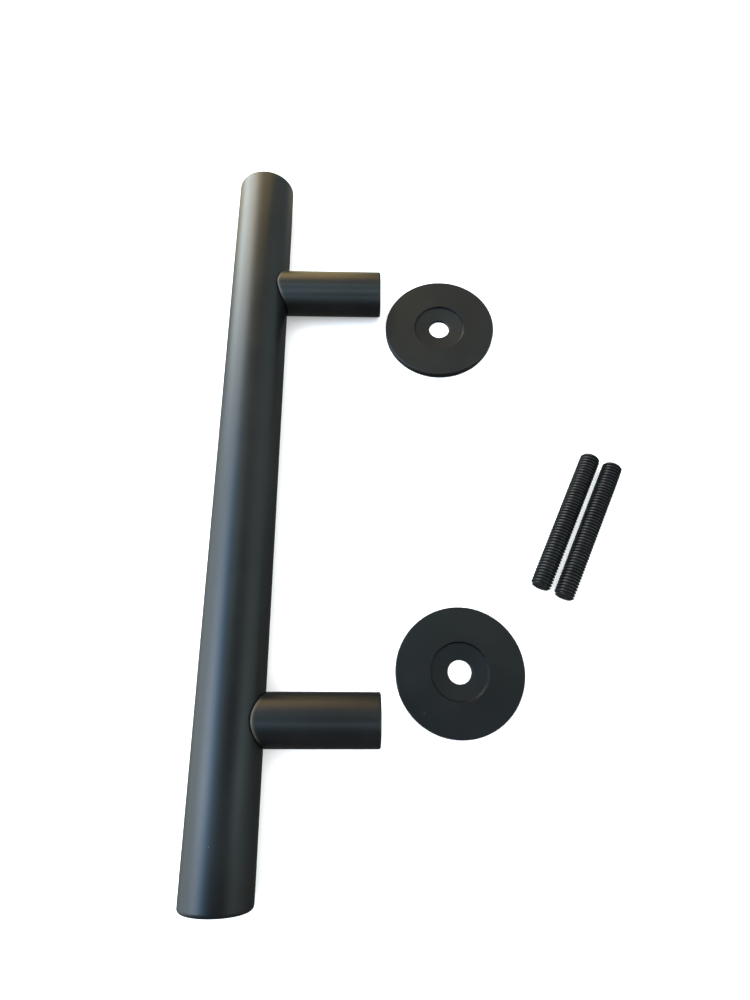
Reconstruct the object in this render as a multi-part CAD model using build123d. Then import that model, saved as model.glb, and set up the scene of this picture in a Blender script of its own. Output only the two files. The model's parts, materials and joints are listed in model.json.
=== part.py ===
from build123d import *
from math import asin, atan2, degrees, hypot, isclose
import os

# A T-bar door pull with its two roses and two fixing studs, laid out on a table.
# Millimetres and degrees. The bar runs along Y, the posts point to +X and the table is the plane Z = 0.

# Grip tube
BAR_D = 25.0
BAR_LENGTH = 300.0
BAR_WALL = 2.0
RIM_ROUND = 1.5
RIM_FLAT = 0.4

# End plugs, flush with the tube's rims
PLUG_LENGTH = 8.0
PLUG_CLEARANCE = 0.05
PLUG_CHAMFER = 0.4

# Posts, measured along their axis from the bar's axis
POST_D = 19.5
POST_SPACING = 182.0
POST_REACH = 54.0
POST_END_ROUND = 0.8
SADDLE_CLEARANCE = 0.05
SADDLE_EDGE = 0.6

# Socket head screws that clamp the posts to the tube
SCREW_D = 6.0
SCREW_HOLE_CLEARANCE = 0.2
SCREW_HEAD_D = 10.0
SCREW_HEAD_HEIGHT = 6.0
SCREW_HEAD_CLEARANCE = 0.4
SCREW_HEAD_CHAMFER = 0.5
SCREW_SEAT = 8.0
SCREW_ENGAGEMENT = 8.0
SCREW_SOCKET = 5.0
SCREW_SOCKET_DEPTH = 3.0

# Half-round nuts inside the tube
NUT_LENGTH = 18.0
NUT_DEPTH = 9.0
NUT_CLEARANCE = 0.05
THREAD_CLEARANCE = 0.05

# Fixing studs
STUD_D = 8.0
STUD_THREAD_DEPTH = 0.6
STUD_LENGTH = 60.0
STUD_CHAMFER = 0.8
STUD_SOCKET = 4.0
STUD_SOCKET_DEPTH = 4.0

# Threaded bushes in the posts' door ends
BUSH_WALL = 2.0
BUSH_LENGTH = 15.0
BUSH_INSET = 0.5
BUSH_CLEARANCE = 0.05
BUSH_CHAMFER = 0.5

# Grub screws that lock the studs, on the underside of the posts
GRUB_D = 5.0
GRUB_INSET = 0.5
GRUB_TIP_GAP = 0.25
GRUB_SOCKET = 2.5
GRUB_SOCKET_DEPTH = 2.0

# Roses
ROSE_D = 48.6
ROSE_FLOOR = 2.0
ROSE_EDGE = 0.35
ROSE_HOLE_CLEARANCE = 0.5
ROSE_HOLE_EDGE = 0.25
SEAT_DEPTH = 1.0
SEAT_CLEARANCE = 0.9
SEAT_FLARE = 0.5
SEAT_ROUND = 0.1
SEAT_DISH = 0.5

# Places on the table: each rose from its post's door end and axis, the studs from the lower rose's far edge
UPPER_ROSE_GAP = 2.2
UPPER_ROSE_SHIFT = -12.9
LOWER_ROSE_GAP = 5.2
LOWER_ROSE_SHIFT = 17.5
STUDS_GAP = 24.9
STUDS_ABOVE_MIDDLE = -16.5
STUDS_APART = 1.5
STUDS_HEADING = 65.0

# Sizes that follow from those above
BAR_R = BAR_D / 2
TUBE_R = BAR_R - BAR_WALL
POST_R = POST_D / 2
STUD_R = STUD_D / 2
STUD_CORE_R = STUD_R - STUD_THREAD_DEPTH
BUSH_R = STUD_R + BUSH_WALL
BUSH_SHOULDER = POST_REACH - BUSH_INSET - BUSH_LENGTH
SCREW_HEAD_AT = BAR_R + SCREW_SEAT
SCREW_TIP_AT = TUBE_R - SCREW_ENGAGEMENT
SCREW_HOLE_R = SCREW_D / 2 + SCREW_HOLE_CLEARANCE
GRUB_AT = BUSH_SHOULDER + BUSH_LENGTH / 2
GRUB_LENGTH = POST_R - GRUB_INSET - STUD_R - GRUB_TIP_GAP
GRUB_HOLE_R = GRUB_D / 2 + THREAD_CLEARANCE
SEAT_R = POST_R + SEAT_CLEARANCE
ROSE_THICKNESS = ROSE_FLOOR + SEAT_DEPTH
ROSE_HOLE_R = STUD_R + ROSE_HOLE_CLEARANCE

# Handle at rest: the bar and the rounded door ends of both posts touch the table
END_REACH = POST_REACH - POST_END_ROUND
END_R = POST_R - POST_END_ROUND
END_DROP = BAR_R - POST_END_ROUND
REST_TILT = degrees(asin(END_DROP / hypot(END_REACH, END_R)) - atan2(END_R, END_REACH))
AT_REST = Pos(0, 0, BAR_R) * Rot(0, REST_TILT, 0)

# Posts by name, with their place along the bar, and each rose's place beside its post
POSTS = {"upper": POST_SPACING / 2, "lower": -POST_SPACING / 2}
ROSE_GAPS = {"upper": UPPER_ROSE_GAP, "lower": LOWER_ROSE_GAP}
ROSE_SHIFTS = {"upper": UPPER_ROSE_SHIFT, "lower": LOWER_ROSE_SHIFT}


def rod(radius, start, end):
    """A round rod along X."""
    return Pos((start + end) / 2, 0, 0) * Rot(0, 90, 0) * Cylinder(radius, end - start)


def rod_down(radius, start, end):
    """A round rod along -Z, from one distance below the axis to another."""
    return Pos(0, 0, -(start + end) / 2) * Cylinder(radius, end - start)


def bar_rod(radius, length):
    """A round rod along the bar, centred on its middle."""
    return Rot(90, 0, 0) * Cylinder(radius, length)


def hexagon(across_flats, depth):
    """A hexagonal prism that stands on Z = 0."""
    return extrude(RegularPolygon(across_flats / 2, 6, major_radius=False), depth)


def end_rims(solid, axis, end, radius):
    """The circular edges of one radius at one end of a solid."""
    edges = solid.edges().filter_by(GeomType.CIRCLE).group_by(axis)[end]
    return edges.filter_by(lambda edge: isclose(edge.radius, radius))


def grip_tube():
    """The bar: a tube with rounded outer rims and a hole for each post screw."""
    outer = bar_rod(BAR_R, BAR_LENGTH)
    outer = fillet(outer.edges().filter_by(GeomType.CIRCLE), min(RIM_ROUND, BAR_WALL - RIM_FLAT))
    tube = outer - bar_rod(TUBE_R, BAR_LENGTH)
    for along in POSTS.values():
        tube -= Pos(0, along, 0) * rod(SCREW_HOLE_R, 0, BAR_D)
    return tube


def end_plug(side):
    """A round plug pressed into one end of the tube, with a chamfered outer rim."""
    radius = TUBE_R - PLUG_CLEARANCE
    plug = Rot(-90 * side, 0, 0) * Cylinder(radius, PLUG_LENGTH, align=(Align.CENTER, Align.CENTER, Align.MAX))
    outer_rim = plug.edges().filter_by(GeomType.CIRCLE).sort_by(Axis.Y)[-1 if side > 0 else 0]
    plug = chamfer(outer_rim, PLUG_CHAMFER)
    return Pos(0, side * BAR_LENGTH / 2, 0) * plug


def post():
    """A round post, coped to the bar, bored for its screw, its bush and its grub screw."""
    body = rod(POST_R, 0, POST_REACH)
    body = fillet(end_rims(body, Axis.X, -1, POST_R), POST_END_ROUND)
    body -= bar_rod(BAR_R + SADDLE_CLEARANCE, BAR_LENGTH)
    saddle_rim = body.edges().filter_by(GeomType.CIRCLE, reverse=True).filter_by(GeomType.LINE, reverse=True)
    body = fillet(saddle_rim, SADDLE_EDGE)
    body -= rod(SCREW_HOLE_R, 0, SCREW_HEAD_AT)
    body -= rod(SCREW_HEAD_D / 2 + SCREW_HEAD_CLEARANCE, SCREW_HEAD_AT, BUSH_SHOULDER)
    body -= rod(BUSH_R + BUSH_CLEARANCE, BUSH_SHOULDER, POST_REACH)
    body -= Pos(GRUB_AT, 0, 0) * rod_down(GRUB_HOLE_R, 0, POST_D)
    return body


def post_screw():
    """A socket head screw: its head sits in the post and its shank reaches into the saddle nut."""
    head_end = SCREW_HEAD_AT + SCREW_HEAD_HEIGHT
    head = rod(SCREW_HEAD_D / 2, SCREW_HEAD_AT, head_end)
    head = chamfer(end_rims(head, Axis.X, -1, SCREW_HEAD_D / 2), SCREW_HEAD_CHAMFER)
    socket = hexagon(SCREW_SOCKET, SCREW_SOCKET_DEPTH)
    head -= Pos(head_end - SCREW_SOCKET_DEPTH, 0, 0) * Rot(0, 90, 0) * socket
    return head + rod(SCREW_D / 2, SCREW_TIP_AT, SCREW_HEAD_AT)


def saddle_nut():
    """A half-round block that lies against the tube's inner wall, tapped for the post screw."""
    radius = TUBE_R - NUT_CLEARANCE
    flat_at = TUBE_R - NUT_DEPTH
    beyond_flat = Pos(flat_at, 0, 0) * Box(BAR_D, NUT_LENGTH, BAR_D, align=(Align.MIN, Align.CENTER, Align.CENTER))
    nut = bar_rod(radius, NUT_LENGTH) & beyond_flat
    return nut - rod(SCREW_D / 2 + THREAD_CLEARANCE, 0, BAR_D)


def threaded_bush():
    """A bush against the shoulder in the post, tapped for the stud, with a side hole for the grub screw."""
    end = BUSH_SHOULDER + BUSH_LENGTH
    bush = rod(BUSH_R, BUSH_SHOULDER, end)
    bush = chamfer(end_rims(bush, Axis.X, -1, BUSH_R), BUSH_CHAMFER)
    bush -= rod(STUD_CORE_R, BUSH_SHOULDER, end)
    return bush - Pos(GRUB_AT, 0, 0) * rod_down(GRUB_HOLE_R, 0, POST_D)


def grub_screw():
    """A headless screw below the post's skin, with a hexagon socket in its outer end."""
    outer_end = POST_R - GRUB_INSET
    screw = rod_down(GRUB_D / 2, outer_end - GRUB_LENGTH, outer_end)
    screw -= Pos(0, 0, -outer_end) * hexagon(GRUB_SOCKET, GRUB_SOCKET_DEPTH)
    return Pos(GRUB_AT, 0, 0) * screw


def rose():
    """A flat disc: a dished seat for the post's end and a clearance hole for the stud."""
    rim = ROSE_D / 2
    corners = [
        (ROSE_HOLE_R, 0),
        (rim, 0),
        (rim, ROSE_THICKNESS),
        (SEAT_R + SEAT_FLARE, ROSE_THICKNESS),
        (SEAT_R, ROSE_FLOOR),
        (ROSE_HOLE_R, ROSE_FLOOR - SEAT_DISH),
    ]
    rounds = [0, 0, ROSE_EDGE, SEAT_ROUND, SEAT_ROUND, ROSE_HOLE_EDGE]
    profile = FilletPolyline(*corners, radius=rounds, close=True)
    return revolve(Plane.XZ * make_face(profile), Axis.Z)


def stud():
    """A headless stud along X, chamfered at both ends, with a hexagon socket in one."""
    half = STUD_LENGTH / 2
    body = rod(STUD_R, -half, half)
    body = chamfer(body.edges().filter_by(GeomType.CIRCLE), STUD_CHAMFER)
    return body - Pos(half - STUD_SOCKET_DEPTH, 0, 0) * Rot(0, 90, 0) * hexagon(STUD_SOCKET, STUD_SOCKET_DEPTH)


def rose_place(name):
    """Where a rose lies on the table."""
    across = POST_REACH + ROSE_GAPS[name] + ROSE_D / 2
    return Pos(across, POSTS[name] + ROSE_SHIFTS[name], 0)


def stud_place(side):
    """Where a stud lies on the table, on one side of the middle of the pair."""
    middle = POST_REACH + LOWER_ROSE_GAP + ROSE_D + STUDS_GAP
    beside = -side * (STUD_D + STUDS_APART) / 2
    return Pos(middle, STUDS_ABOVE_MIDDLE, STUD_R) * Rot(0, 0, STUDS_HEADING) * Pos(0, beside, 0)


def handle_pieces():
    """The pieces of the handle itself, about the bar's own middle."""
    pieces = {"grip_tube": [grip_tube()]}
    for name, along in POSTS.items():
        at_post = Pos(0, along, 0)
        side = 1 if along > 0 else -1
        pieces[name + "_end_plug"] = [end_plug(side)]
        pieces[name + "_post"] = [at_post * post()]
        pieces[name + "_saddle_nut"] = [at_post * saddle_nut()]
        pieces[name + "_threaded_bush"] = [at_post * threaded_bush()]
        pieces.setdefault("post_screws", []).append(at_post * post_screw())
        pieces.setdefault("grub_screws", []).append(at_post * grub_screw())
    return pieces


def loose_pieces():
    """The pieces that lie beside the handle."""
    pieces = {name + "_rose": [rose_place(name) * rose()] for name in POSTS}
    pieces["fixing_studs"] = [stud_place(side) * stud() for side in (1, -1)]
    return pieces


laid_out = {name: [AT_REST * solid for solid in solids] for name, solids in handle_pieces().items()}
laid_out.update(loose_pieces())

# The origin is on the table, in the middle of everything that lies on it
extent = Compound([solid for solids in laid_out.values() for solid in solids]).bounding_box()
TO_ORIGIN = Pos(-extent.center().X, -extent.center().Y, 0)

os.makedirs("parts", exist_ok=True)
for name, solids in laid_out.items():
    placed = [TO_ORIGIN * solid for solid in solids]
    node = placed[0] if len(placed) == 1 else Compound(placed)
    export_step(node, os.path.join("parts", name + ".step"))
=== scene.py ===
import json
from collections import namedtuple
from math import cos, pi, radians, sin, sqrt

import bmesh
import bpy
import numpy as np
from mathutils import Matrix


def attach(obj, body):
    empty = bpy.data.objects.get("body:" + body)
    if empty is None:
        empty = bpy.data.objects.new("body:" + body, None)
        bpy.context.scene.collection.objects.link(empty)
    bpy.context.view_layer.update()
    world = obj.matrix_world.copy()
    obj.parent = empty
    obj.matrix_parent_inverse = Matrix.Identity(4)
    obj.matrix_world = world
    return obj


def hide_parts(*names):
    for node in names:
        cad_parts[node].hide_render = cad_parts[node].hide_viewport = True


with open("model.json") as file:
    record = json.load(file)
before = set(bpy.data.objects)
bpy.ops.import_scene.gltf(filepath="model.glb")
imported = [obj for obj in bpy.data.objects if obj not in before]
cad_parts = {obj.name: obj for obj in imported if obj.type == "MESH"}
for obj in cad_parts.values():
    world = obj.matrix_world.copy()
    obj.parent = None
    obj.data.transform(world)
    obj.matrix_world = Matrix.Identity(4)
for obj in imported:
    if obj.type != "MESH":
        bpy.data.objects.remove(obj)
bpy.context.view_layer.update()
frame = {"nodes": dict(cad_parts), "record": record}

# A satin black T-bar door pull with its loose roses and fixing studs, on a pale table.
# Metres. The bar lies along Y, its posts point to +X and the table is the plane Z = 0.
MM = 0.001
BAR_AXIS = np.array([0, 1, 0])

# Camera, above the table and a little nearer than the middle of the bar: angles in degrees
CAMERA_PLACE = (-10.6 * MM, -97.06 * MM, 258.62 * MM)
CAMERA_LENS = 23.785
CAMERA_SENSOR = 36
CAMERA_NEAREST = 1 * MM
CAMERA_DOWN = 70.086
CAMERA_TURN = 5.032
CAMERA_ROLL = -5.264

# Table
TABLE_SIDE = 6.0
TABLE_BELOW = 0.02 * MM
TABLE_GLOW = 0.35
TABLE_WHITES = ((0.84, 0.84, 0.84), (0.87, 0.87, 0.87))
TABLE_ROUGHNESS = 0.9

# Threads, as shares of the pitch
STUD_PITCH = 1.25 * MM
GRUB_PITCH = 0.8 * MM
CREST_SHARE = 0.125
THREAD_DEPTH_SHARE = 0.6134
FLANK_SHARE = THREAD_DEPTH_SHARE * sqrt(1 / 3)

# Ends of the studs and grub screws
STUD_CHAMFER = 0.8 * MM
STUD_SOCKET = 4.0 * MM
STUD_SOCKET_DEPTH = 4.0 * MM
GRUB_CHAMFER = 0.4 * MM
GRUB_SOCKET = 2.5 * MM
GRUB_SOCKET_DEPTH = 2.0 * MM
SOCKET_MOUTH = 0.2 * MM
SOCKET_TIP_SLOPE = 0.45

# Threaded bushes
BUSH_CHAMFER = 0.5 * MM
SIDE_HOLE_R = 2.55 * MM

# Turned meshes: columns round the axis, how near two points are one, and how far an edge bends to be sharp
AROUND = 72
ANGLES = np.linspace(0, 2 * pi, AROUND + 1)
SAME_POINT = 0.002 * MM
SHARP_EDGE = radians(32)

# Baked black coats: the darker and the paler of their clouds, how rough they are and how deep their grain is
BAR_BLACKS = ((0.0035, 0.0038, 0.0041), (0.0052, 0.0054, 0.0055))
BAR_ROUGHNESS = 0.30
ROSE_BLACKS = ((0.0017, 0.0018, 0.0019), (0.0026, 0.0026, 0.0025))
ROSE_ROUGHNESS = 0.34
COAT_DEPTH = 0.03 * MM
DUST = (0.16, 0.155, 0.145)
DUST_PER_METRE = 170

# Painted highlight along the posts' coped rims, standing in for the glint on their rounding: steps out from
# the bar's surface, and heights over its axis
PAINTED_RIM_HIGHLIGHT = (0.058, 0.046, 0.034)
RIM_HIGHLIGHT_STARTS = 0.2 * MM
RIM_HIGHLIGHT_FULL = 0.4 * MM
RIM_HIGHLIGHT_FADES = 0.5 * MM
RIM_HIGHLIGHT_ENDS = 1.8 * MM
RIM_HIGHLIGHT_HEIGHTS = (4.5 * MM, 8.0 * MM)

# Blackened and plated steel
OXIDE_BLACKS = ((0.0022, 0.0022, 0.0026), (0.0048, 0.0043, 0.0040))
OXIDE_ROUGHNESS = 0.36
OXIDE_DEPTH = 0.01 * MM
WORN_STEEL = (0.055, 0.053, 0.051)
ZINC_BLUE = (0.56, 0.57, 0.60)
ZINC_YELLOW = (0.63, 0.60, 0.52)
ZINC_SPOT = (0.33, 0.33, 0.32)
ZINC_ROUGHNESS = 0.3
ZINC_DEPTH = 0.015 * MM
TURNING_MARKS = {"Scale": 900.0, "Distortion": 1.5, "Detail": 2.0, "Detail Scale": 2.0}

# Soft lights round the table: azimuth from +X towards +Y and height, in degrees, tightness and colour
STUDIO_LIGHTS = {
    "side_window": (175, 4, 4.9, (1.93, 2.26, 2.35)),
    "side_lamp": (180, 36.6, 17, (3.85, 2.07, 0.0)),
    "side_sky": (179, 42.5, 10.4, (0.0, 2.68, 6.15)),
    "far_window": (135, 8.4, 27, (5.26, 6.15, 6.57)),
    "far_sky": (126, 31.2, 27, (6.36, 5.86, 4.69)),
    "far_lamp": (96, 27, 60, (1.80, 0.75, 0.0)),
    "far_wall": (85, 55, 20, (0.18, 0.09, 0.0)),
    "far_table": (62, -25, 60, (0.85, 0.85, 0.82)),
    "ceiling": (117, 78, 60, (1.33, 1.62, 1.30)),
    "open_room": (12, 31, 3.1, (0.66, 0.82, 0.83)),
}
STUDIO_AMBIENT = (0.072, 0.072, 0.062)
BACKDROP = (1.0, 1.0, 1.0)

# Flat panels that only reflections show. Each stands across an axis at a place on it, glows on the side that
# faces up (1) or down (-1) that axis, and dims what is beyond it. Along both other axes it has a low and a
# high edge: where the panel starts and where it is full. Places are in millimetres.
PANELS = {
    "far_card": {
        "across": "Y", "place": 233, "facing": -1, "glow": (1.92, 1.47, 0.62), "dims": 0.0,
        "edges": {"X": ((-523, -7), (0, -45)), "Z": ((-148, 48), (244, 48))},
    },
    "near_wall": {
        "across": "Y", "place": -150, "facing": 1, "glow": (1.87, 2.53, 2.81), "dims": 0.0,
        "edges": {"X": ((-900, -700), (900, 700)), "Z": ((32, 418), (1500, 1200))},
    },
    "dark_overhead": {
        "across": "Z", "place": 258, "facing": -1, "glow": (0.0, 0.0, 0.0), "dims": 1.0,
        "edges": {"X": ((-281, -3), (304, 26)), "Y": ((-696, -418), (149, -129))},
    },
}
TOP_LIGHT_SIDE = 2.0
TOP_LIGHT_HEIGHT = 1.5
TOP_LIGHT_POWER = 42.0


class Shade:
    """An output socket of a node tree. Arithmetic on it adds Math nodes to that tree."""

    def __init__(self, tree, socket=None):
        self.tree = tree
        self.socket = socket

    def node(self, kind, settings, inputs, output=0):
        """Adds a node of one kind, sets it up, fills or links its inputs and gives one of its outputs."""
        node = self.tree.nodes.new("ShaderNode" + kind)
        for name, setting in settings.items():
            setattr(node, name, setting)
        for key, given in inputs.items():
            if isinstance(given, Shade):
                self.tree.links.new(given.socket, node.inputs[key])
            else:
                node.inputs[key].default_value = given
        return Shade(self.tree, node.outputs[output] if node.outputs else None)

    def math(self, operation, *values):
        """The result of one Math node on values or sockets."""
        return self.node("Math", {"operation": operation}, dict(enumerate(values)))

    def __add__(self, other):
        return self.math("ADD", self, other)

    def __radd__(self, other):
        return self.math("ADD", other, self)

    def __sub__(self, other):
        return self.math("SUBTRACT", self, other)

    def __rsub__(self, other):
        return self.math("SUBTRACT", other, self)

    def __mul__(self, other):
        return self.math("MULTIPLY", self, other)

    def __rmul__(self, other):
        return self.math("MULTIPLY", other, self)


def material(name):
    """An empty material: gives it, the start of its node tree and the place on the surface."""
    made = bpy.data.materials.new(name)
    made.use_nodes = True
    made.node_tree.nodes.clear()
    shade = Shade(made.node_tree)
    return made, shade, shade.node("TexCoord", {}, {}, "Object")


def finish_material(shade, **sockets):
    """Ends a material with one Principled shader: names with spaces are written with underscores."""
    inputs = {name.replace("_", " "): value for name, value in sockets.items()}
    surface = shade.node("BsdfPrincipled", {}, inputs)
    shade.node("OutputMaterial", {}, {"Surface": surface})


def noise(shade, place, per_metre, detail=2.0, roughness=0.5):
    """Soft noise from 0 to 1, with about this many grains to the metre."""
    inputs = {"Vector": place, "Scale": per_metre, "Detail": detail, "Roughness": roughness}
    return shade.node("TexNoise", {}, inputs)


def between(shade, value, low, high):
    """0 below low, 1 above high, with a smooth step between."""
    inputs = {"Value": value, "From Min": low, "From Max": high}
    return shade.node("MapRange", {"interpolation_type": "SMOOTHSTEP"}, inputs)


def mixed(shade, factor, first, second):
    """The first colour where the factor is 0 and the second where it is 1."""
    colours = [given if isinstance(given, Shade) else (*given, 1.0) for given in (first, second)]
    return shade.node("Mix", {"data_type": "RGBA"}, {"Factor": factor, 6: colours[0], 7: colours[1]}, 2)


def bumps(shade, height, strength, depth):
    """The surface's normal, tipped by a height from 0 to 1 that is this deep."""
    return shade.node("Bump", {}, {"Height": height, "Strength": strength, "Distance": depth})


def satin_black_coat(name, blacks, roughness, painted_highlight=None):
    """Baked black coat: cloudy near-black, a fine sanded grain, handling smears and a few specks of dust.

    A function of the tree and the place may say how much painted highlight lies there.
    """
    made, shade, place = material(name)
    clouds = noise(shade, place, per_metre=45, detail=3.0)
    grain = noise(shade, place, per_metre=3200, detail=1.0)
    peel = noise(shade, place, per_metre=620)
    smears = between(shade, noise(shade, place, per_metre=90, detail=4.0, roughness=0.6), 0.45, 0.75)
    cells = {"Vector": place, "Scale": DUST_PER_METRE}
    from_speck = shade.node("TexVoronoi", {}, cells, "Distance")
    chance = shade.node("SeparateColor", {}, {"Color": shade.node("TexVoronoi", {}, cells, "Color")}, "Red")
    dust = between(shade, chance, 0.70, 0.95) * (1 - between(shade, from_speck, 0.015, 0.05))
    body = mixed(shade, between(shade, clouds, 0.3, 0.7), *blacks)
    # Painted highlight: a paler colour mixed in along the posts' coped rims, standing in for a glint.
    if painted_highlight:
        body = mixed(shade, painted_highlight(shade, place), body, PAINTED_RIM_HIGHLIGHT)
    colour = mixed(shade, dust * 0.45, body, DUST)
    rough = roughness + (grain - 0.5) * 0.07 + smears * 0.035 + dust * 0.2
    height = grain * 0.35 + peel * 0.65 + dust * 1.5
    normal = bumps(shade, height, strength=0.35, depth=COAT_DEPTH)
    finish_material(shade, Base_Color=colour, Roughness=rough, Normal=normal)
    return made


def saddle_rim_highlight(shade, place):
    """Mask of a painted highlight that stands in for a glint: 1 along the coped rims of the posts where they
    face up, going by the distance from the bar's axis.

    The bar lies on the table, so its axis is as high as its radius.
    """
    middle = middle_of(node_points("grip_tube"))
    bar_r = middle[2]
    from_middle = shade.node("VectorMath", {"operation": "SUBTRACT"}, {0: place, 1: middle})
    across = shade.node("VectorMath", {"operation": "MULTIPLY"}, {0: from_middle, 1: (1, 0, 1)})
    distance = shade.node("VectorMath", {"operation": "LENGTH"}, {0: across}, "Value")
    comes = between(shade, distance, bar_r + RIM_HIGHLIGHT_STARTS, bar_r + RIM_HIGHLIGHT_FULL)
    goes = between(shade, distance, bar_r + RIM_HIGHLIGHT_ENDS, bar_r + RIM_HIGHLIGHT_FADES)
    height = shade.node("SeparateXYZ", {}, {"Vector": from_middle}, "Z")
    return comes * goes * between(shade, height, *RIM_HIGHLIGHT_HEIGHTS)


def black_oxide_steel():
    """Blackened steel: dark, faintly brown and blue, with paler steel where the thread's crests rub."""
    made, shade, place = material("black_oxide_steel")
    patches = noise(shade, place, per_metre=350, detail=3.0)
    grain = noise(shade, place, per_metre=5000)
    crest = shade.node("Attribute", {"attribute_name": "crest"}, {}, "Fac")
    rub = between(shade, crest * 0.6 + patches * 0.6, 0.78, 1.02)
    colour = mixed(shade, rub * 0.7, mixed(shade, patches, *OXIDE_BLACKS), WORN_STEEL)
    rough = OXIDE_ROUGHNESS + (grain - 0.5) * 0.12 + (patches - 0.5) * 0.1
    normal = bumps(shade, grain, strength=0.3, depth=OXIDE_DEPTH)
    finish_material(shade, Base_Color=colour, Roughness=rough, Metallic=rub * 0.6, Normal=normal)
    return made


def zinc_plated_steel():
    """Bright zinc: grey metal with turning marks across the posts' axis and a faint yellow and blue bloom."""
    made, shade, place = material("zinc_plated_steel")
    bloom = noise(shade, place, per_metre=260, detail=3.0)
    spots = noise(shade, place, per_metre=1800, detail=3.0)
    marks = shade.node("TexWave", {"bands_direction": "X"}, {"Vector": place, **TURNING_MARKS})
    tint = mixed(shade, between(shade, bloom, 0.35, 0.65), ZINC_BLUE, ZINC_YELLOW)
    colour = mixed(shade, between(shade, spots, 0.6, 0.8) * 0.5, tint, ZINC_SPOT)
    rough = ZINC_ROUGHNESS + (bloom - 0.5) * 0.15 + (spots - 0.5) * 0.12
    normal = bumps(shade, marks * 0.6 + spots * 0.4, strength=0.3, depth=ZINC_DEPTH)
    finish_material(shade, Base_Color=colour, Roughness=rough, Metallic=1.0, Normal=normal)
    return made


def pale_table():
    """A white matt table top with a barely visible tooth."""
    made, shade, place = material("pale_table")
    white = mixed(shade, noise(shade, place, per_metre=400), *TABLE_WHITES)
    finish_material(shade, Base_Color=white, Roughness=TABLE_ROUGHNESS,
                    Emission_Color=white, Emission_Strength=TABLE_GLOW)
    return made


def panel_glow(name, panel):
    """A panel full inside its edges and gone outside them, with a smooth step across each.

    Its front adds the glow, and both sides dim what is seen through it.
    """
    made, shade, place = material(name)
    full = 1.0
    for axis, edges in panel["edges"].items():
        along = shade.node("SeparateXYZ", {}, {"Vector": place}, axis)
        for starts, fills in edges:
            full = full * between(shade, along, starts * MM, fills * MM)
    front = 1 - shade.node("NewGeometry", {}, {}, "Backfacing")
    tint = shade.node("VectorMath", {"operation": "SCALE"}, {0: panel["glow"], "Scale": full * front})
    lit = shade.node("Emission", {}, {"Color": tint})
    seen_through = shade.node("CombineColor", {}, dict.fromkeys((0, 1, 2), 1 - full * panel["dims"]))
    clear = shade.node("BsdfTransparent", {}, {"Color": seen_through})
    shade.node("OutputMaterial", {}, {"Surface": shade.node("AddShader", {}, {0: lit, 1: clear})})
    return made


def flat_mesh(name, corners, finish):
    """One flat face with a finish, as a new object of the scene."""
    mesh = bpy.data.meshes.new(name)
    mesh.from_pydata(corners, [], [tuple(range(len(corners)))])
    mesh.materials.append(finish)
    flat = bpy.data.objects.new(name, mesh)
    bpy.context.scene.collection.objects.link(flat)
    return flat


def table():
    """The table under the object, which reflections don't show."""
    half = TABLE_SIDE / 2
    corners = [(-half, -half, -TABLE_BELOW), (half, -half, -TABLE_BELOW),
               (half, half, -TABLE_BELOW), (-half, half, -TABLE_BELOW)]
    top = flat_mesh("table", corners, pale_table())
    top.visible_glossy = False


def panel_corners(panel):
    """A panel's corners, as far out as its edges start, in the order that turns its front the right way."""
    across = "XYZ".index(panel["across"])
    corners = np.full((4, 3), panel["place"] * MM)
    for (axis, edges), turn in zip(panel["edges"].items(), ([0, 1, 1, 0], [0, 0, 1, 1])):
        ends = np.array([starts for starts, _ in edges]) * MM
        corners[:, "XYZ".index(axis)] = ends[turn]
    front = np.cross(corners[1] - corners[0], corners[2] - corners[1])[across]
    return corners if front * panel["facing"] > 0 else corners[::-1]


def panels():
    """Flat panels round the table, which only reflections show."""
    for name, panel in PANELS.items():
        flat = flat_mesh(name, panel_corners(panel), panel_glow(name, panel))
        flat.visible_camera = False
        flat.visible_diffuse = False
        flat.visible_transmission = False
        flat.visible_shadow = False


def direction(azimuth, height):
    """The unit vector towards an azimuth from +X and a height above the horizon, in degrees."""
    flat = cos(radians(height))
    return (flat * cos(radians(azimuth)), flat * sin(radians(azimuth)), sin(radians(height)))


def studio_world():
    """Soft lights all round, and a plain backdrop for the camera alone.

    Each light is its colour times exp(tightness * (cosine of the angle from its middle - 1)).
    """
    world = bpy.data.worlds.new("studio")
    bpy.context.scene.world = world
    world.use_nodes = True
    world.node_tree.nodes.clear()
    shade = Shade(world.node_tree)
    ray = shade.node("TexCoord", {}, {}, "Generated")
    light = STUDIO_AMBIENT
    for azimuth, height, tightness, colour in STUDIO_LIGHTS.values():
        middle = direction(azimuth, height)
        cosine = shade.node("VectorMath", {"operation": "DOT_PRODUCT"}, {0: ray, 1: middle}, "Value")
        falloff = shade.math("EXPONENT", (cosine - 1) * tightness)
        glow = shade.node("VectorMath", {"operation": "SCALE"}, {0: colour, "Scale": falloff})
        light = shade.node("VectorMath", {"operation": "ADD"}, {0: light, 1: glow})
    studio = shade.node("Background", {}, {"Color": light, "Strength": 1.0})
    backdrop = shade.node("Background", {}, {"Color": (*BACKDROP, 1.0), "Strength": 1.0})
    seen = shade.node("LightPath", {}, {}, "Is Camera Ray")
    shown = shade.node("MixShader", {}, {0: seen, 1: studio, 2: backdrop})
    shade.node("OutputWorld", {}, {"Surface": shown})


def top_light():
    """A large soft light over the table that lights it evenly and leaves no reflection of itself."""
    lamp = bpy.data.lights.new("top_light", "AREA")
    lamp.shape = "SQUARE"
    lamp.size = TOP_LIGHT_SIDE
    lamp.energy = TOP_LIGHT_POWER
    light = bpy.data.objects.new("top_light", lamp)
    light.location = (0, 0, TOP_LIGHT_HEIGHT)
    light.visible_glossy = False
    bpy.context.scene.collection.objects.link(light)


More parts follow.
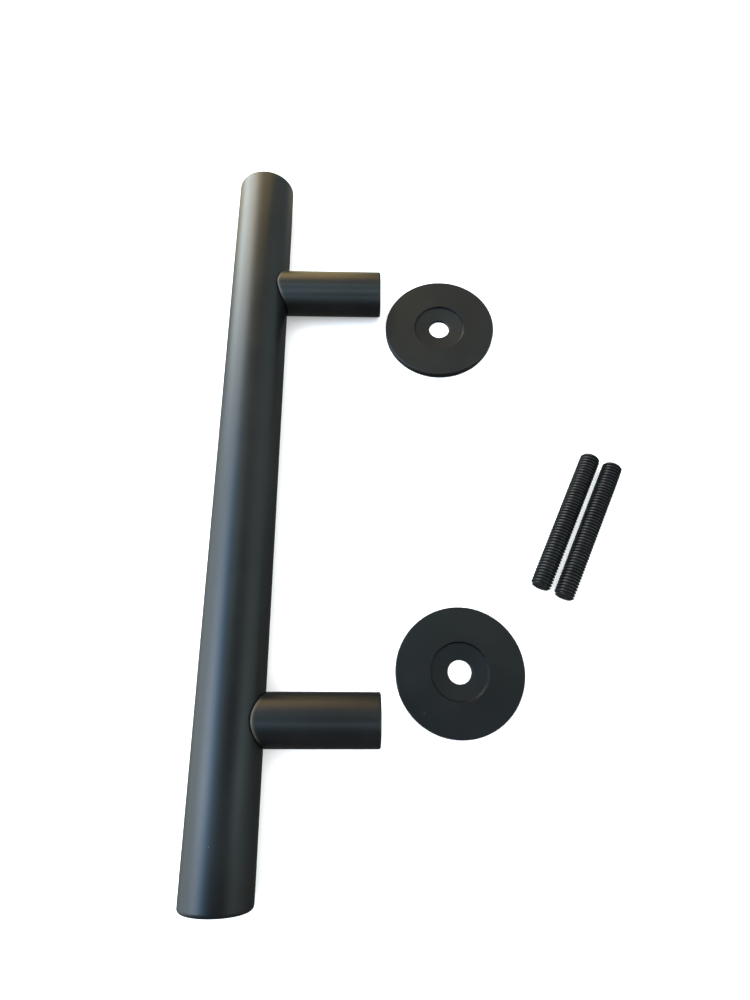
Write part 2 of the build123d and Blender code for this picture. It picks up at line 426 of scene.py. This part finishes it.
def camera():
    """The camera looks down, turned a little to the left and rolled a little to the right."""
    lens = bpy.data.cameras.new("camera")
    lens.sensor_width = CAMERA_SENSOR
    lens.lens = CAMERA_LENS
    lens.clip_start = CAMERA_NEAREST
    eye = bpy.data.objects.new("camera", lens)
    turn = Matrix.Rotation(radians(CAMERA_TURN), 4, "Z")
    tip = Matrix.Rotation(radians(90 - CAMERA_DOWN), 4, "X")
    roll = Matrix.Rotation(radians(CAMERA_ROLL), 4, "Z")
    eye.matrix_world = Matrix.Translation(CAMERA_PLACE) @ turn @ tip @ roll
    bpy.context.scene.collection.objects.link(eye)
    bpy.context.scene.camera = eye


def node_points(node):
    """The places of all points of a CAD node, one row each."""
    mesh = frame["nodes"][node].data
    places = np.empty(3 * len(mesh.vertices))
    mesh.vertices.foreach_get("co", places)
    return places.reshape(-1, 3)


def middle_of(points):
    """The middle of the box round some points."""
    return (points.min(0) + points.max(0)) / 2


def skin(name, grid, finish, crest=None):
    """A closed mesh from a grid of points, rows by columns: each four neighbours make a face.

    Points that coincide, along the seam, at the poles and where rows run together, become one.
    """
    rows, columns = grid.shape[:2]
    index = np.arange(rows * columns).reshape(rows, columns)
    faces = np.stack([index[:-1, :-1], index[:-1, 1:], index[1:, 1:], index[1:, :-1]], axis=-1)
    mesh = bpy.data.meshes.new(name)
    mesh.from_pydata(grid.reshape(-1, 3), [], faces.reshape(-1, 4))
    if crest is not None:
        layer = mesh.attributes.new("crest", "FLOAT", "POINT")
        layer.data.foreach_set("value", crest.astype(np.float32).ravel())
    work = bmesh.new()
    work.from_mesh(mesh)
    bmesh.ops.remove_doubles(work, verts=work.verts, dist=SAME_POINT)
    bmesh.ops.recalc_face_normals(work, faces=work.faces)
    work.to_mesh(mesh)
    work.free()
    mesh.shade_smooth()
    mesh.set_sharp_from_angle(angle=SHARP_EDGE)
    mesh.materials.append(finish)
    piece = bpy.data.objects.new(name, mesh)
    bpy.context.scene.collection.objects.link(piece)
    return piece


def ring(radius, along):
    """One row of a turned shape: its radius at each angle and its place along the axis, columns by 2."""
    return np.stack([radius + 0 * ANGLES, along + 0 * ANGLES], axis=-1)


def hexagon(across):
    """A hexagon's radius at each angle: half its width across flats over the cosine from the nearest flat."""
    from_flat = (ANGLES + pi / 6) % (pi / 3) - pi / 6
    return across / 2 / np.cos(from_flat)


def thread_rows(start, end, pitch, crest_r, inwards):
    """A thread as a profile carried along a helix: crest flat, straight flank, root flat, straight flank.

    Each row is one corner of the profile: it climbs one pitch in a turn, and is cut off at the start and end.
    The depth is taken inwards from the crest on a stud and outwards from it in a bush.
    Gives each point's radius, its place along the axis, and 1 on the crest and 0 at the root.
    """
    root_share = 1 - CREST_SHARE - 2 * FLANK_SHARE
    corner = np.cumsum([0, CREST_SHARE, FLANK_SHARE, root_share])
    depth = np.array([0, 0, 1, 1]) * THREAD_DEPTH_SHARE * pitch
    turns = np.arange(-1, round((end - start) / pitch) + 2)
    climb = np.linspace(0, 1, AROUND + 1)
    along = start + pitch * ((turns[:, None] + corner).reshape(-1, 1) + climb)
    sign = -1 if inwards else 1
    radius = np.tile(crest_r + sign * depth, len(turns))[:, None] + 0 * climb
    crest = np.tile(1 - depth / depth.max(), len(turns))[:, None] + 0 * climb
    return radius, np.clip(along, start, end), crest


def turned(rows, matrix):
    """Points of turned rows: out from the axis by the radius, round it by the angle, and along it."""
    radius, along = rows[..., 0], rows[..., 1]
    local = np.stack([radius * np.cos(ANGLES), radius * np.sin(ANGLES), along], axis=-1)
    return local @ matrix[:, :3].T + matrix[:, 3]


def axis_frame(place, axis):
    """A 3 by 4 matrix that puts a turned shape's axis along a direction, with its middle at a place."""
    along = np.asarray(axis) / np.linalg.norm(axis)
    upright = np.allclose(along[:2], 0)
    side = BAR_AXIS if upright else np.cross((0, 0, 1), along)
    side = side / np.linalg.norm(side)
    return np.column_stack([side, np.cross(along, side), along, place])


def socket_screw(name, matrix, length, radius, pitch, chamfer, socket, socket_depth, finish):
    """A headless screw: a hexagon socket in its top, a thread with both ends chamfered, and a flat foot."""
    top, foot = length / 2, -length / 2
    end_r = radius - chamfer
    flats = hexagon(socket)
    floor = top - socket_depth
    head = [
        ring(0, floor - SOCKET_TIP_SLOPE * socket / 2),
        ring(flats, floor),
        ring(flats, top - SOCKET_MOUTH),
        ring(flats.max(), top),
        ring(end_r, top),
    ]
    thread_r, along, crest = thread_rows(foot, top, pitch, radius, inwards=True)
    cone = end_r + np.minimum(top - along, along - foot)
    thread = np.stack([np.minimum(thread_r, cone), along], axis=-1)[::-1]
    tail = [ring(end_r, foot), ring(0, foot)]
    rows = np.concatenate([head, thread, tail])
    worn = np.pad(crest[::-1], ((len(head), len(tail)), (0, 0)))
    return skin(name, turned(rows, matrix), finish, worn)


def fixing_studs(finish):
    """The two studs, where their plain solids lie: they point the way in which their points spread most.

    They lie on the table, so their middle is as high as their radius.
    """
    points = node_points("fixing_studs")
    middle = middle_of(points)
    radius = middle[2]
    flat = points[:, :2]
    heading = np.linalg.svd(flat - flat.mean(0), full_matrices=False)[2][0]
    heading = heading * np.sign(heading[1])
    across = np.array([-heading[1], heading[0]])
    length = np.ptp(flat @ heading)
    offset = np.ptp(flat @ across) / 2 - radius
    for name, side in (("left_fixing_stud", 1), ("right_fixing_stud", -1)):
        place = middle + np.append(side * offset * across, 0)
        stud = socket_screw(name, axis_frame(place, (*heading, 0)), length, radius, STUD_PITCH,
                            STUD_CHAMFER, STUD_SOCKET, STUD_SOCKET_DEPTH, finish)
        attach(stud, "root")
        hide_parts("fixing_studs")


PostThread = namedtuple("PostThread", "post middle axis up length bore_r")


def post_threads():
    """Each post's thread, from the record: its middle, direction, the way up from it, length and bore."""
    mounts = {mount["name"]: mount for mount in frame["record"]["mounts"]}
    threads = []
    for post in ("upper", "lower"):
        mount = mounts[post + "_post_thread"]
        axis = np.array(mount["axis"])
        up = np.cross(BAR_AXIS, axis)
        up = up * np.sign(up[2])
        length, bore_r = [mount["dims"][size] * MM for size in ("length_mm", "r_mm")]
        threads.append(PostThread(post, np.array(mount["pos_m"]), axis, up, length, bore_r))
    return threads


def cut_hole(piece, matrix, radius, length):
    """Cuts a round hole from an axis outwards through one wall of a piece."""
    rows = np.array([ring(0, 0), ring(radius, 0), ring(radius, length), ring(0, length)])
    cutter = skin("cutter", turned(rows, matrix), piece.data.materials[0])
    cut = piece.modifiers.new("side_hole", "BOOLEAN")
    cut.operation = "DIFFERENCE"
    cut.object = cutter
    evaluated = piece.evaluated_get(bpy.context.evaluated_depsgraph_get())
    mesh = bpy.data.meshes.new_from_object(evaluated)
    piece.modifiers.clear()
    piece.data = mesh
    bpy.data.objects.remove(cutter)


def threaded_bushes(finish):
    """The tapped bushes in the posts: a threaded bore, a chamfered rim and a side hole for the grub screw."""
    for thread in post_threads():
        node = thread.post + "_threaded_bush"
        outer_r = np.ptp(node_points(node)[:, 1]) / 2
        foot, top = -thread.length / 2, thread.length / 2
        thread_r, along, _ = thread_rows(foot, top, STUD_PITCH, thread.bore_r, inwards=False)
        mouth_r = thread.bore_r + THREAD_DEPTH_SHARE * STUD_PITCH
        lead_in = mouth_r - np.minimum(top - along, along - foot)
        bore = np.stack([np.maximum(thread_r, lead_in), along], axis=-1)
        outside = [
            ring(mouth_r, top),
            ring(outer_r - BUSH_CHAMFER, top),
            ring(outer_r, top - BUSH_CHAMFER),
            ring(outer_r, foot),
            ring(mouth_r, foot),
        ]
        rows = np.concatenate([[ring(mouth_r, foot)], bore, outside])
        bush = skin(node + "_tapped", turned(rows, axis_frame(thread.middle, thread.axis)), finish)
        cut_hole(bush, axis_frame(thread.middle, -thread.up), SIDE_HOLE_R, 2 * outer_r)
        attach(bush, "root")
        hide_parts(node)


def grub_screws(finish):
    """The grub screws under the posts, sockets outwards."""
    points = node_points("grub_screws")
    for thread in post_threads():
        own = points[points[:, 1] * np.sign(thread.middle[1]) > 0]
        heights = own @ thread.up
        rise = (heights.max() + heights.min()) / 2 - thread.middle @ thread.up
        matrix = axis_frame(thread.middle + thread.up * rise, -thread.up)
        radius = np.ptp(own[:, 1]) / 2
        screw = socket_screw(thread.post + "_grub_screw", matrix, np.ptp(heights), radius, GRUB_PITCH,
                             GRUB_CHAMFER, GRUB_SOCKET, GRUB_SOCKET_DEPTH, finish)
        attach(screw, "root")
        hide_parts("grub_screws")


def dress(finish, *nodes):
    """Gives CAD nodes a finish."""
    for node in nodes:
        slots = frame["nodes"][node].data.materials
        slots.clear()
        slots.append(finish)


bpy.context.scene.view_settings.view_transform = "Standard"
studio_world()
panels()
top_light()
camera()
table()

bar_coat = satin_black_coat("satin_black_coat", BAR_BLACKS, BAR_ROUGHNESS)
# The posts' coat carries a painted highlight along their coped rims.
post_coat = satin_black_coat("satin_black_post_coat", BAR_BLACKS, BAR_ROUGHNESS, saddle_rim_highlight)
rose_coat = satin_black_coat("matt_black_coat", ROSE_BLACKS, ROSE_ROUGHNESS)
steel = black_oxide_steel()
zinc = zinc_plated_steel()
dress(bar_coat, "grip_tube", "upper_end_plug", "lower_end_plug")
dress(post_coat, "upper_post", "lower_post")
dress(rose_coat, "upper_rose", "lower_rose")
dress(zinc, "upper_saddle_nut", "lower_saddle_nut", "post_screws")
fixing_studs(steel)
threaded_bushes(zinc)
grub_screws(steel)
